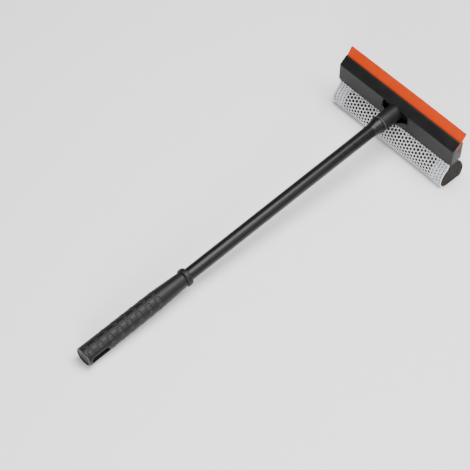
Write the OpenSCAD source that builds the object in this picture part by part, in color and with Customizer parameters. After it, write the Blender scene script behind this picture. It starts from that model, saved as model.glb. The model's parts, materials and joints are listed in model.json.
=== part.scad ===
// Long-handled window squeegee with a net-covered sponge.
// Every piece is drawn about the handle's own axis: Y runs along the handle from the grip to
// the head, X along the blade and Z up. The finished tool is then laid down on its sponge and
// the end of its grip, with the origin on the floor under the middle of the sponge.

/* [Head moulding] */
// Length of the head along the blade
head_len = 205; // [150:1:260]
// Thickness of the head from its front face to its back
head_depth = 18.8; // [16.5:0.1:23]
// Underside of the head below the handle's axis
head_drop = 22; // [18:0.1:27]
// Crease between the front face and the jaw above the handle's axis
crease_rise = 9.3; // [8:0.1:11.2]
// Length of the sloping jaw face
jaw_len = 15; // [12.5:0.1:18]
// Slope of the jaw face from level
jaw_slope = 40; // [36:1:44]
// Wall of the moulding
head_wall = 2.6; // [2:0.1:3.2]
// Thickness of the stiffening ribs inside the head
rib_t = 1.6; // [1.2:0.1:2.4]
// Number of hollow bays between the ribs
rib_bays = 5; // [5:2:7]
// Cut across the lower corners at both ends
corner_cut = 4; // [2:0.5:5]

/* [Blade] */
// Slope of the blade from level
blade_slope = 56; // [52:1:60]
// Thickness of the rubber
blade_t = 2.4; // [1.8:0.1:2.8]
// Blade standing out of the jaws
blade_out = 14.2; // [11:0.1:18]
// Blade held inside the jaws
blade_in = 12; // [10:0.1:13]
// Diameter of the bead along the blade's root
bead_d = 4.6; // [3.8:0.1:5.2]
// Thickness of the front jaw at its lip
lip_t = 2.2; // [1.8:0.1:2.6]
// Clearance all round the blade in its slot
blade_gap = 0.1; // [0.05:0.05:0.2]

/* [Sponge and net] */
// Length of the sponge along the blade
sponge_len = 202; // [148:1:258]
// Radius of the sponge's round section
sponge_r = 22; // [20:0.1:24]
// Middle of the sponge below the head's underside
sponge_sink = 23; // [21.5:0.5:25]
// Floor below the middle of the sponge, where its weight flattens it
floor_drop = 19.6; // [18:0.1:20.4]
// Thickness of the net with its knots
net_t = 0.8; // [0.5:0.1:1.2]
// Slack between the net and the sponge
net_gap = 0.2; // [0.1:0.1:0.4]
// Bare sponge left at each end of the net
net_margin = 1.5; // [0.5:0.5:4]
// Width of the net's hem pinched above the plate
hem_w = 4; // [3:0.5:5]
// Thickness of the pinched hem
hem_t = 0.5; // [0.4:0.1:0.8]

/* [Sponge plate] */
// Thickness of the plate the sponge is glued to
plate_t = 2.6; // [2.2:0.1:3.5]
// Step from the head's faces in to the plate's edges
plate_step = 1.2; // [1:0.1:1.8]
// Thread diameter of the plate's screws
screw_d = 3; // [2.5:0.1:3.5]
// Head diameter of the plate's screws
screw_head_d = 5.6; // [5:0.1:6.4]
// Length of the screws under the head
screw_len = 12; // [10:0.5:14]

/* [Socket and screw joint] */
// Outside diameter of the socket
socket_d = 23.3; // [22:0.1:25]
// Length of the socket in front of the crease
socket_len = 28; // [25:0.5:34]
// Core diameter of the threaded spigot
core_d = 12.6; // [12:0.1:13.2]
// Height of the thread on the spigot
thread_h = 0.9; // [0.7:0.1:1]
// Travel of the joint for one turn
thread_pitch = 4; // [3.5:0.1:5]
// Turns of thread
thread_turns = 5; // [4:1:5]
// Clearance between the thread's crest and the socket
crest_gap = 0.3; // [0.2:0.05:0.4]
// Diameter of the plain pilot behind the thread
pilot_d = 17; // [16.4:0.1:17.6]
// Length of the pilot
pilot_len = 5; // [4:0.5:6]
// Radial clearance of the pilot in the socket
pilot_gap = 0.05; // [0.02:0.01:0.09]
// Thickness of the washer between collar and socket
washer_t = 1.6; // [1.2:0.1:2.4]
// Length of the collar's straight rim
collar_rim = 1.8; // [1.4:0.1:3]
// Length of the collar's flare
flare_len = 15; // [12:0.5:20]
// Length of the collar's tail inside the pole
tail_len = 26; // [20:1:36]
// Reach of the curved apron under the socket
apron_reach = 19; // [15:0.5:22]
// Half width of the apron where it meets the head
apron_r = 24.5; // [22:0.5:27]
// Wall of the apron
apron_wall = 2; // [1.6:0.1:2.6]

/* [Pole] */
// Visible length of the pole from the hand stop to the collar
pole_show = 324.7; // [200:0.1:420]
// Diameter of the pole at the head
pole_d = 18.2; // [17:0.1:19]
// Diameter of the pole at the grip
pole_grip_d = 17.5; // [16.5:0.1:18]
// Wall of the pole
pole_wall = 1.4; // [1:0.1:2]
// Gap inside the grip between the pole and the end plug
pole_gap = 9; // [2:1:30]

/* [Grip] */
// Length of the grip behind the hand stop
grip_len = 160.5; // [150:0.5:190]
// Diameter of the grip at its end
grip_d = 26.3; // [25:0.1:29]
// Diameter of the grip where its nose starts
grip_front_d = 25.2; // [24.4:0.1:27]
// Length of the tapering nose
nose_len = 42; // [30:1:46]
// Wall of the nose at the hand stop
nose_wall = 1.55; // [1.2:0.05:2.2]
// Edge rounding at the end of the grip
grip_round = 2.2; // [1.5:0.1:3]
// Height of the hand stop above the pole
stop_rise = 3.65; // [3:0.05:5]
// Width of the hand stop
stop_w = 7.4; // [6:0.1:9]
// Edge rounding of the hand stop
stop_round = 2.6; // [1.5:0.1:2.9]
// Turn of the grip's pads from upright
pad_clock = 25; // [0:1:44]
// Side of one pad
pad_s = 5.6; // [4.5:0.1:7]
// Height of one pad
pad_h = 0.3; // [0.2:0.1:0.8]
// Distance between the pads of a row
pad_pitch = 15.2; // [12:0.1:17]
// First pad's distance from the end of the grip
pad_start = 8; // [6:0.5:20]
// Pads in a row
pad_count = 8; // [5:1:8]
// Rows of pads round the grip
pad_rows = 8; // [4:4:8]
// Length of the hanging slot
slot_len = 28; // [22:1:32]
// Height of the hanging slot
slot_h = 10; // [8:0.5:11]
// Solid end left behind the hanging slot
slot_edge = 4; // [3:0.5:10]
// Wall of the grip round the end plug
grip_wall = 2.4; // [2:0.1:2.8]
// Length of the end plug
plug_len = 40; // [38:1:44]

/* [Hidden] */
$fn = 96;
eps = 0.01;
big = 400;

// Head section, as [y, z]
lip_front = [jaw_len * cos(jaw_slope), crease_rise + jaw_len * sin(jaw_slope)];
along_blade = [cos(blade_slope), sin(blade_slope)];
through_blade = [sin(blade_slope), -cos(blade_slope)];
jaw_top_w = (head_depth - lip_front[0]) / through_blade[0];
lip_back = lip_front + through_blade * jaw_top_w;
blade_root = lip_front + through_blade * (lip_t + blade_t / 2);
crease_groove = 0.8;
lip_bevel = 0.9;

// Inside of the head
cavity_top = crease_rise - 8;
bay_w = (head_len - 2 * head_wall - (rib_bays - 1) * rib_t) / rib_bays;
bay_pitch = bay_w + rib_t;
boss_d = screw_d + 4;
plate_z = -head_drop - hem_t;
plate_under = plate_z - plate_t;

// Sponge
sponge_mid = [head_depth / 2, -head_drop - sponge_sink];
net_len = sponge_len - 2 * net_margin;
net_r = sponge_r + net_gap + net_t;
hem_level = plate_under + hem_t;
net_top_half = sqrt(net_r * net_r - pow(hem_level - sponge_mid[1], 2)) - net_t / 2;

// Apron under the socket
apron_rim = -5.5;
apron_dip = 30;
recess_depth = 1.4;
recess_top = 1;

// Joint between the handle and the head
socket_mouth = -socket_len;
washer_front = socket_mouth;
collar_front = washer_front - washer_t;
flare_end = collar_front - collar_rim;
pole_front = flare_end - flare_len;
crest_d = core_d + 2 * thread_h;
bore_d = crest_d + 2 * crest_gap;
thread_run = thread_pitch * thread_turns;
spigot_len = washer_t + pilot_len + thread_run + 3;
bore_depth = spigot_len - washer_t + 1.5;

// Handle
stop_front = pole_front - pole_show;
stop_back = stop_front - stop_w;
grip_back = stop_back - grip_len;
nose_back = stop_back - nose_len;
pole_back = grip_back + plug_len + pole_gap;
tube_bore = pole_grip_d - 2 * pole_wall;
slot_mid = grip_back + slot_edge + slot_len / 2;
first_pad = grip_back + pad_start;
plug_d = grip_d - 2 * grip_wall;
nose_d = pole_grip_d + 2 * nose_wall;
stop_d = pole_grip_d + 2 * stop_rise;

// The tool lies on the net and on the rim of the grip's end
rest_run = sponge_mid[0] - grip_back - grip_round;
rest_rise = -grip_d / 2 - sponge_mid[1];
rest_tilt = atan2(rest_rise, rest_run) + asin(floor_drop / norm([rest_run, rest_rise]));

// Diameter of the grip between its end and its nose
function grip_d_at(y) =
    grip_d + (grip_front_d - grip_d) * (y - grip_back) / (nose_back - grip_back);

// Turns a piece from the handle's frame to its place on the floor
module lay_down() {
    translate([0, 0, floor_drop])
        rotate([rest_tilt, 0, 0])
            translate([0, -sponge_mid[0], -sponge_mid[1]])
                children();
}

// Carries a [y, z] outline along the blade, centred on the handle
module across(length) {
    translate([-length / 2, 0, 0])
        rotate([90, 0, 90])
            linear_extrude(length)
                children();
}

// Stands a piece on the handle's axis at y, growing towards the head
module on_axis(y) {
    translate([0, y, 0])
        rotate([-90, 0, 0])
            children();
}

// Round rod on the handle's axis from y0 to y1
module rod(y0, y1, d0, d1) {
    on_axis(y0)
        cylinder(h = y1 - y0, d1 = d0, d2 = d1);
}

// Section of the head: front face, sloping jaw, top of the jaws and back
module head_section() {
    difference() {
        polygon([[0, -head_drop], [0, crease_rise],
            lip_front - [lip_bevel * cos(jaw_slope), lip_bevel * sin(jaw_slope)],
            lip_front + through_blade * lip_bevel, lip_back, [head_depth, -head_drop]]);
        translate([0, crease_rise])
            circle(d = crease_groove, $fn = 24);
    }
}

// The blade, or its slot with a gap all round: a strip over the whole head, with a bead along
// its root that stops short of both ends
module blade_strip(gap) {
    across(head_len + 2 * gap)
        translate(blade_root)
            rotate(blade_slope)
                translate([-blade_in - gap, -blade_t / 2 - gap])
                    square([blade_in + blade_out + 2 * gap, blade_t + 2 * gap]);
    across(head_len - 2 * head_wall + 2 * gap)
        translate(blade_root)
            rotate(blade_slope)
                translate([-blade_in + bead_d / 2, 0])
                    circle(d = bead_d + 2 * gap);
}

// Helical ridge of the spigot's thread, starting at the end of the pilot
function ridge_points(steps) = [
    for (i = [0:steps * thread_turns])
        let (a = 360 * i / steps, y = i * thread_pitch / steps)
            for (c = [[-0.2, 0], [thread_h, 0.8], [thread_h, 1.5], [-0.2, 2.3]])
                [(core_d / 2 + c[0]) * cos(a), (core_d / 2 + c[0]) * sin(a), y + c[1]]
];

module thread_ridge() {
    steps = 24;
    rings = steps * thread_turns;
    sides = [
        for (i = [0:rings - 1], k = [0:3], half = [0, 1])
            half == 0
                ? [4 * i + k, 4 * i + 4 + (k + 1) % 4, 4 * i + 4 + k]
                : [4 * i + k, 4 * i + (k + 1) % 4, 4 * i + 4 + (k + 1) % 4]
    ];
    end = 4 * rings;
    caps = [[2, 1, 0], [3, 2, 0], [end, end + 1, end + 2], [end, end + 2, end + 3]];
    polyhedron(points = ridge_points(steps), faces = concat(sides, caps), convexity = 12);
}

// Places of the plate's screws, one in each bay beside the middle one
module at_screws() {
    for (side = [-1, 1], i = [1:(rib_bays - 1) / 2])
        translate([side * i * bay_pitch, head_depth / 2, plate_under])
            children();
}

// Hollow bays inside the head, divided by ribs
module bays() {
    for (i = [-(rib_bays - 1) / 2:(rib_bays - 1) / 2])
        translate([i * bay_pitch - bay_w / 2, head_wall, -head_drop - eps])
            cube([bay_w, head_depth - 2 * head_wall, head_drop + cavity_top]);
}

// Outline of the space between the socket and a trumpet-shaped surface round it
module trumpet(inset) {
    difference() {
        square([apron_r, apron_reach]);
        translate([socket_d / 2 + apron_reach, 0])
            circle(r = apron_reach + inset);
    }
}

// Curved apron between the underside of the socket and the front face, open above its rim
module apron() {
    difference() {
        on_axis(-apron_reach)
            rotate_extrude()
                difference() {
                    trumpet(0);
                    trumpet(apron_wall);
                }
        translate([-big / 2, -big / 2, -big - head_drop])
            cube(big);
        translate([0, 0, apron_rim])
            rotate([apron_dip, 0, 0])
                translate([-big / 2, -big / 2, 0])
                    cube(big);
    }
}

// Shallow recess in the front face behind the apron
module apron_recess() {
    intersection() {
        rod(-eps, recess_depth, 2 * apron_r - 2 * apron_wall, 2 * apron_r - 2 * apron_wall);
        translate([-big / 2, -big / 2, apron_wall - head_drop])
            cube([big, big, head_drop - apron_wall + recess_top]);
    }
}

// Head moulding with its jaws, ribs, socket and apron
module head_shell() {
    color([0.17, 0.17, 0.17])
        lay_down()
            difference() {
                union() {
                    difference() {
                        across(head_len)
                            head_section();
                        bays();
                        apron_recess();
                    }
                    at_screws()
                        translate([0, 0, plate_t + hem_t])
                            cylinder(h = head_drop + cavity_top + eps, d = boss_d);
                    rod(socket_mouth, head_wall, socket_d, socket_d);
                    apron();
                }
                rod(socket_mouth - 1, socket_mouth + bore_depth, bore_d, bore_d);
                rod(socket_mouth - 1, socket_mouth + pilot_len, pilot_d + 2 * pilot_gap,
                    pilot_d + 2 * pilot_gap);
                blade_strip(blade_gap);
                at_screws()
                    cylinder(h = screw_len, d = screw_d - 0.4);
                for (side = [0, 1])
                    mirror([side, 0, 0])
                        translate([head_len / 2, 0, -head_drop])
                            rotate([0, 45, 0])
                                cube([corner_cut * sqrt(2), big, corner_cut * sqrt(2)],
                                    center = true);
            }
}

// Rubber blade with a bead along its root
module blade() {
    color([1, 0.4, 0])
        lay_down()
            blade_strip(0);
}

// Plate under the head that carries the sponge
module sponge_plate() {
    color([0.12, 0.12, 0.12])
        lay_down()
            difference() {
                translate([-sponge_len / 2, plate_step, plate_z - plate_t])
                    cube([sponge_len, head_depth - 2 * plate_step, plate_t]);
                at_screws()
                    translate([0, 0, -1])
                        cylinder(h = plate_t + 2, d = screw_d + 0.3);
                at_screws()
                    translate([0, 0, -eps])
                        cylinder(h = plate_t / 2 + eps, d = screw_head_d + 0.3);
            }
}

// Screws that hold the plate
module plate_screws() {
    color([0.6, 0.6, 0.62])
        lay_down()
            at_screws() {
                cylinder(h = plate_t / 2, d = screw_head_d);
                cylinder(h = screw_len - 1, d = screw_d - 0.4);
            }
}

// Round section of the sponge or net, flattened on the floor
module rest_section(grow, lift) {
    translate(sponge_mid)
        rotate(-rest_tilt)
            intersection() {
                circle(r = sponge_r + grow);
                translate([-big / 2, lift - floor_drop])
                    square(big);
            }
}

// Everything above a level, in section
module above(level) {
    translate([-big / 2, level])
        square(big);
}

// Foam sponge glued to the plate
module sponge_core() {
    color([0.2, 0.18, 0.17])
        lay_down()
            across(sponge_len)
                difference() {
                    rest_section(0, net_t + net_gap);
                    above(plate_under);
                }
}

// One hem of the net: over the sponge, up the plate's edge and in above the plate
module net_hem() {
    edge = head_depth / 2 - plate_step + net_gap;
    translate([edge, plate_under])
        square([net_top_half - edge, hem_t]);
    translate([edge, plate_under])
        square([hem_t, plate_t + hem_t]);
    translate([edge + hem_t - hem_w, plate_z])
        square([hem_w, hem_t]);
}

// Net round the sponge, with its hems pinched between plate and head
module net_sleeve() {
    color([0.85, 0.86, 0.9])
        lay_down()
            across(net_len) {
                difference() {
                    rest_section(net_gap + net_t, 0);
                    rest_section(net_gap, net_t);
                    above(hem_level);
                }
                for (side = [0, 1])
                    translate([head_depth / 2, 0])
                        mirror([side, 0])
                            net_hem();
            }
}

// Washer between the socket and the collar
module washer() {
    color([0.3, 0.3, 0.3])
        lay_down()
            difference() {
                rod(collar_front, washer_front, socket_d, socket_d);
                rod(collar_front - 1, washer_front + 1, pilot_d + 0.4, pilot_d + 0.4);
            }
}

// Flared collar with the threaded spigot
module collar() {
    tail_d = pole_d - 2 * pole_wall - 0.04;
    color([0.13, 0.13, 0.13])
        lay_down()
            difference() {
                union() {
                    rod(pole_front - tail_len, pole_front, tail_d, tail_d);
                    rod(pole_front, flare_end, pole_d, socket_d);
                    rod(flare_end, collar_front, socket_d, socket_d);
                    rod(collar_front, collar_front + washer_t + pilot_len - 0.3, pilot_d, pilot_d);
                    rod(collar_front, collar_front + spigot_len, core_d, core_d);
                    on_axis(collar_front + washer_t + pilot_len)
                        thread_ridge();
                }
                rod(pole_front - tail_len - 1, collar_front + spigot_len - 3, core_d - 5, core_d - 5);
            }
}

// Tapered tube of the pole
module pole_tube() {
    color([0.15, 0.15, 0.15])
        lay_down()
            difference() {
                union() {
                    rod(stop_front, pole_front, pole_grip_d, pole_d);
                    rod(pole_back, stop_front, pole_grip_d, pole_grip_d);
                }
                rod(stop_front, pole_front + eps, tube_bore, pole_d - 2 * pole_wall);
                rod(pole_back - 1, stop_front + eps, tube_bore, tube_bore);
            }
}

// Round stop in front of the hand
module hand_stop() {
    color([0.16, 0.16, 0.16])
        lay_down()
            difference() {
                on_axis(stop_back)
                    rotate_extrude() {
                        square([stop_d / 2 - stop_round, stop_w]);
                        translate([0, stop_round])
                            square([stop_d / 2, stop_w - 2 * stop_round]);
                        for (y = [stop_round, stop_w - stop_round])
                            translate([stop_d / 2 - stop_round, y])
                                circle(r = stop_round);
                    }
                rod(stop_back - 1, stop_front + 1, pole_grip_d, pole_grip_d);
            }
}

// Hanging slot through the end of the grip
module hang_slot() {
    rotate([90, 0, 90])
        translate([slot_mid, 0, -big / 2])
            linear_extrude(big) {
                square([slot_len - slot_h, slot_h], center = true);
                for (side = [-1, 1])
                    translate([side * (slot_len - slot_h) / 2, 0])
                        circle(d = slot_h);
            }
}

// Raised pads in rows round the grip, left out beside the slot
module pads() {
    intersection() {
        rod(grip_back, stop_back, grip_d + 2 * pad_h, grip_d_at(stop_back) + 2 * pad_h);
        for (row = [0:pad_rows - 1], i = [0:pad_count - 1]) {
            angle = pad_clock + row * 360 / pad_rows;
            y = first_pad + i * pad_pitch;
            beside_slot = abs(sin(angle)) > 0.7 && y < grip_back + slot_edge + slot_len + pad_s;
            if (!beside_slot)
                rotate([0, angle, 0])
                    translate([-pad_s / 2, y - pad_s / 2, 0])
                        cube([pad_s, pad_s, grip_d]);
        }
    }
}

// Soft grip over the end of the pole
module grip_sleeve() {
    round_d = grip_d - 2 * grip_round;
    color([0.18, 0.18, 0.18])
        lay_down()
            difference() {
                union() {
                    rod(grip_back + grip_round, nose_back, grip_d, grip_front_d);
                    rod(nose_back, stop_back, grip_front_d, nose_d);
                    on_axis(grip_back)
                        rotate_extrude() {
                            square([round_d / 2, grip_round + eps]);
                            translate([round_d / 2, grip_round])
                                circle(r = grip_round);
                        }
                    pads();
                }
                rod(pole_back - 1, stop_back + 1, pole_grip_d, pole_grip_d);
                rod(grip_back - 1, grip_back + plug_len, plug_d, plug_d);
                hang_slot();
            }
}

// Plug that closes the grip and lines the hanging slot
module end_plug() {
    color([0.2, 0.2, 0.2])
        lay_down()
            difference() {
                rod(grip_back, grip_back + plug_len, plug_d, plug_d);
                hang_slot();
            }
}

head_shell();
blade();
sponge_plate();
plate_screws();
sponge_core();
net_sleeve();
washer();
collar();
pole_tube();
hand_stop();
grip_sleeve();
end_plug();
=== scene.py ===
"""A long-handled window squeegee with a net-covered sponge, lying on the floor.

Each piece is worked out in the handle's own frame (x to the right along the blade, y along the
handle towards the head, z up from the handle's axis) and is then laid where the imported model
has it.
"""

import json
import math

import bmesh
import bpy
import numpy as np
from mathutils import Matrix, Vector


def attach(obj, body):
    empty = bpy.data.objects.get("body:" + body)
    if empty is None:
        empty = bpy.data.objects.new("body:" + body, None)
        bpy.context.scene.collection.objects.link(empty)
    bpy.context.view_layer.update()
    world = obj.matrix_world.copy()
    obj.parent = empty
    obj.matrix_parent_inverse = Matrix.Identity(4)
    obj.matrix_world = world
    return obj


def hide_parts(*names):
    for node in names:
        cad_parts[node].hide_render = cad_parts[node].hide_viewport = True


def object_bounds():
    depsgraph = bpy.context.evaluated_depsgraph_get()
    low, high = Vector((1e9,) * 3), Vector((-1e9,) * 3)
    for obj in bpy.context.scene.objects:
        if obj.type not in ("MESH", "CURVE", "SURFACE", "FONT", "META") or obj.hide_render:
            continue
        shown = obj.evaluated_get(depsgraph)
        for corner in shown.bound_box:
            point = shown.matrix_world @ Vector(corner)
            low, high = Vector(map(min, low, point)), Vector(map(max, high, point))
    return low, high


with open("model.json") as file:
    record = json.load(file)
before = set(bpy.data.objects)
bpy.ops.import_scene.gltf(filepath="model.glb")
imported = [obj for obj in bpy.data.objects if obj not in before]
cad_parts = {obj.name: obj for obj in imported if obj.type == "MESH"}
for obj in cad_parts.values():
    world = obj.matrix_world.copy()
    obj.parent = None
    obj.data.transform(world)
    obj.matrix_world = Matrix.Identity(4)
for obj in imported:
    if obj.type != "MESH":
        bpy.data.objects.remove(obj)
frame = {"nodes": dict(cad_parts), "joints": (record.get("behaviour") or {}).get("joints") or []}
cad_low, cad_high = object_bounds()
mm = 0.001


# --- Floor, light and camera ---------------------------------------------------------------
# The tool lies on a plain pale floor under soft boxes. A long lens looks down on it from
# beyond the right end of the blade.
def add(material, kind, inputs=(), **settings):
    """Adds a shader node. Each input, by name or number, is linked if its value is a socket,
    and is set to the value if not."""
    node = material.node_tree.nodes.new("ShaderNode" + kind)
    for name, value in settings.items():
        setattr(node, name, value)
    for key, value in dict(inputs).items():
        if isinstance(value, bpy.types.NodeSocket):
            material.node_tree.links.new(value, node.inputs[key])
        else:
            node.inputs[key].default_value = value
    return node


def new_material(name, **sockets):
    """A material with one Principled shader, and the sockets that are the same all over it."""
    material = bpy.data.materials.new(name)
    material.use_nodes = True
    shader = material.node_tree.nodes["Principled BSDF"]
    for key, value in sockets.items():
        shader.inputs[key.replace("_", " ")].default_value = value
    return material, shader


def between(material, factor, low, high, from_low=0.3, from_high=0.7):
    """A number that goes evenly from low to high while the factor goes over its span, which is
    that of a noise if it isn't given."""
    node = add(material, "MapRange", {"Value": factor, "From Min": from_low, "From Max": from_high,
                                      "To Min": low, "To Max": high})
    return node.outputs["Result"]


def tint(material, factor, first, second):
    """The colour between two colours that a factor from 0 to 1 picks."""
    node = add(material, "Mix", {0: factor, 6: (*first, 1), 7: (*second, 1)}, data_type="RGBA")
    return node.outputs[2]


floor_half, floor_white, sky_strength = 12.0, 0.86, 0.09
floor_paint, floor_shader = new_material("floor_paint", Roughness=0.85)
floor_shader.inputs["Base Color"].default_value = (*[floor_white] * 3, 1)
floor_mesh = bpy.data.meshes.new("floor")
floor_mesh.from_pydata([(x * floor_half, y * floor_half, 0) for x, y in
                        ((-1, -1), (1, -1), (1, 1), (-1, 1))], [], [(0, 1, 2, 3)])
floor = bpy.data.objects.new("floor", floor_mesh)
floor_mesh.materials.append(floor_paint)
bpy.context.scene.collection.objects.link(floor)

sky = bpy.data.worlds.new("studio")
sky.use_nodes = True
sky.node_tree.nodes["Background"].inputs["Color"].default_value = (1, 1, 1, 1)
sky.node_tree.nodes["Background"].inputs["Strength"].default_value = sky_strength
bpy.context.scene.world = sky

middle = (cad_low + cad_high) / 2


def away_at(azimuth, elevation):
    """The direction that stands an azimuth round from the grip's end and an elevation over the
    floor: the sine and cosine of one, each times the cosine of the other, and its sine."""
    a, e = math.radians(azimuth), math.radians(elevation)
    return Vector((math.sin(a) * math.cos(e), -math.cos(a) * math.cos(e), math.sin(e)))


def soft_box(name, azimuth, elevation, distance, size, power):
    """A square lamp on a sphere round the tool, turned to face its middle."""
    back = away_at(azimuth, elevation)
    lamp = bpy.data.lights.new(name, "AREA")
    lamp.shape, lamp.size, lamp.energy = "SQUARE", size, power
    box = bpy.data.objects.new(name, lamp)
    box.location = middle + back * distance
    box.rotation_mode = "QUATERNION"
    box.rotation_quaternion = (-back).to_track_quat("-Z", "Y")
    bpy.context.scene.collection.objects.link(box)


soft_box("overhead_box", 150, 80, 1.8, 1.4, 85)
soft_box("front_box", 38, 14, 1.7, 0.7, 36)
soft_box("right_box", 110, 35, 1.6, 0.8, 6)

view_azimuth, view_elevation, view_roll = 41.8, 52.55, 6.0
view_distance, view_lens = 1.932, 117.6
view_aim = middle + Vector((-6.7, -31.9, -17.5)) * mm

back = away_at(view_azimuth, view_elevation)
level = Vector((-back.y, back.x, 0)).normalized()
rise = back.cross(level)
roll = math.radians(view_roll)
right = level * math.cos(roll) + rise * math.sin(roll)
lens = bpy.data.cameras.new("camera")
lens.lens, lens.sensor_width = view_lens, 36
lens.clip_start, lens.clip_end = 0.1, 20
camera = bpy.data.objects.new("camera", lens)
camera.matrix_world = Matrix.Translation(view_aim + back * view_distance) @ Matrix(
    (right, back.cross(right), back)).transposed().to_4x4()
bpy.context.scene.collection.objects.link(camera)
bpy.context.scene.camera = camera


# --- Head moulding -------------------------------------------------------------------------
# One black plastic moulding: a hollow body whose front slopes back into the jaws, the socket
# for the handle, and the curved apron that braces the socket against the front face.
head_half, head_depth, head_drop = 102.5 * mm, 18.8 * mm, 22 * mm
crease_rise, jaw_len, jaw_slope = 9.3 * mm, 15 * mm, math.radians(40)
blade_slope, blade_t, slot_gap = math.radians(56), 2.4 * mm, 0.1 * mm
blade_in, lip_t = 12 * mm, 2.2 * mm
corner_cut = 4 * mm
socket_len, socket_r = 28 * mm, 11.65 * mm

turn = next(j for j in frame["joints"] if j["name"] == "handle_turn")
along_handle = -np.array(turn["axis"], float)
socket_mouth = np.array(turn["pos_m"], float)
above_handle = np.cross((1, 0, 0), along_handle)


def laid(x, y, z):
    """The handle-frame points x, y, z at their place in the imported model: so far to the right
    of the socket's mouth, so far along the handle from it and so far above the axis."""
    x, y, z = np.broadcast_arrays(x, y, z)
    return (socket_mouth + x[..., None] * np.array((1.0, 0, 0))
            + (y + socket_len)[..., None] * along_handle + z[..., None] * above_handle)


def rounded(corners, radii, closed=True, steps=6, fill=None):
    """The outline through corners, each cut off by a parabola that touches both of its sides a
    radius away from it. An open outline keeps its first and last corner. The side after a
    corner gets as many even extra points as fill says."""
    corners, radii = np.asarray(corners, float), np.asarray(radii, float)
    before, after = np.roll(corners, 1, 0) - corners, np.roll(corners, -1, 0) - corners
    s = np.linspace(0, 1, steps)[:, None, None]
    ends = [side * np.minimum(radii / np.linalg.norm(side, axis=1), 0.48)[:, None]
            for side in (before, after)]
    bends = (corners + ends[0] * (1 - s) ** 2 + ends[1] * s ** 2).swapaxes(0, 1)
    if not closed:
        return np.vstack([corners[:1], bends[1:-1].reshape(-1, 2), corners[-1:]])
    if fill is None:
        return bends.reshape(-1, 2)
    return np.vstack([part for bend, start, count in zip(bends, np.roll(bends[:, 0], -1, 0), fill)
                      for part in (bend, bend[-1] + (start - bend[-1])
                                   * np.arange(1, count + 1)[:, None] / (count + 1))])


def drawn_in(corners, depth):
    """The corners of a closed outline whose sides have all been moved inwards by a depth: each
    is where its two moved sides meet."""
    ahead, behind = np.roll(corners, -1, 0) - corners, corners - np.roll(corners, 1, 0)
    ahead, behind = (v / np.linalg.norm(v, axis=1)[:, None] for v in (ahead, behind))
    area = (corners[:, 0] * np.roll(corners[:, 1], -1) - corners[:, 1] * np.roll(corners[:, 0], -1)
            ).sum()
    inward = [np.sign(area) * np.stack([-v[:, 1], v[:, 0]], -1) for v in (behind, ahead)]
    both = inward[0] + inward[1]
    return corners + depth * 2 * both / (both ** 2).sum(1)[:, None]


def smooth(t):
    """Eases from 0 to 1 while t goes from 0 to 1, with level ends: t squared, times three less
    twice t."""
    t = np.clip(t, 0, 1)
    return t * t * (3 - 2 * t)


def lengthwise(half, edge, stations=(0.0,)):
    """Places of the rings along a bar of the blade's direction, and how far each is drawn in:
    a quarter circle of the edge radius at both ends."""
    bend = np.linspace(math.pi / 2, 0, 5)
    ends = half - edge + edge * np.sin(bend)
    depth = edge * (1 - np.cos(bend))
    inside = np.sort(np.asarray(stations, float))
    return (np.concatenate([-ends, inside, ends[::-1]]),
            np.concatenate([depth, np.zeros(len(inside)), depth[::-1]]))


def bar(corners, radii, half, edge, stations=(0.0,), step=2 * mm, steps=5):
    """Rings (x, y, z as three arrays) of a rounded y-z outline carried along the blade's
    direction, with extra points a step apart."""
    corners = np.asarray(corners, float)
    places, depths = lengthwise(half, edge, stations)
    fill = (np.linalg.norm(np.roll(corners, -1, 0) - corners, axis=1) / step).astype(int)
    rings = np.stack([rounded(drawn_in(corners, depth), radii, steps=steps, fill=fill)
                      for depth in depths])
    return np.tile(places[:, None], rings.shape[1]), rings[..., 0], rings[..., 1]


def skin(points, ends="flat"):
    """Closed skin over rings of points (rings x points round x 3). Neighbours make quads, and
    the end rings are filled flat, or joined to each other. If the volume that the faces
    enclose comes out negative, all of them are turned over."""
    count, around = points.shape[:2]
    i, j = np.indices((count if ends == "joined" else count - 1, around))
    right_hand, below = (j + 1) % around, (i + 1) % count
    quads = np.stack([i * around + j, i * around + right_hand,
                      below * around + right_hand, below * around + j], -1).reshape(-1, 4)
    flat = points.reshape(-1, 3)
    centred = flat - flat.mean(0)
    corner = centred[quads].swapaxes(0, 1)
    volume = (corner[0] * (np.cross(corner[1], corner[2]) + np.cross(corner[2], corner[3]))).sum()
    faces = quads.tolist()
    if ends == "flat":
        for cap in (np.arange(around)[::-1], (count - 1) * around + np.arange(around)):
            rim = centred[cap]
            volume += (rim[0] * np.cross(rim[1:-1], rim[2:])).sum()
            faces.append(cap.tolist())
    if volume < 0:
        faces = [face[::-1] for face in faces]
    return flat, faces


def make_piece(name, skins, material, body, stands_for, sharp=35):
    """One object from closed skins, each one's points counted on from those before it. It is
    smooth but for flat ends and corners sharper than an angle. It rides on a body and stands
    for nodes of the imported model."""
    starts = np.cumsum([0] + [len(points) for points, _ in skins])
    faces = [[v + start for v in face]
             for start, (_, some) in zip(starts.tolist(), skins) for face in some]
    mesh = bpy.data.meshes.new(name)
    mesh.from_pydata(np.vstack([points for points, _ in skins]), [], faces)
    mesh.shade_smooth()
    mesh.polygons.foreach_set("use_smooth", [len(face) == 4 for face in faces])
    mesh.set_sharp_from_angle(angle=math.radians(sharp))
    mesh.materials.append(material)
    piece = bpy.data.objects.new(name, mesh)
    bpy.context.scene.collection.objects.link(piece)
    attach(piece, body)
    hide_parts(*stands_for)
    return piece


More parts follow.
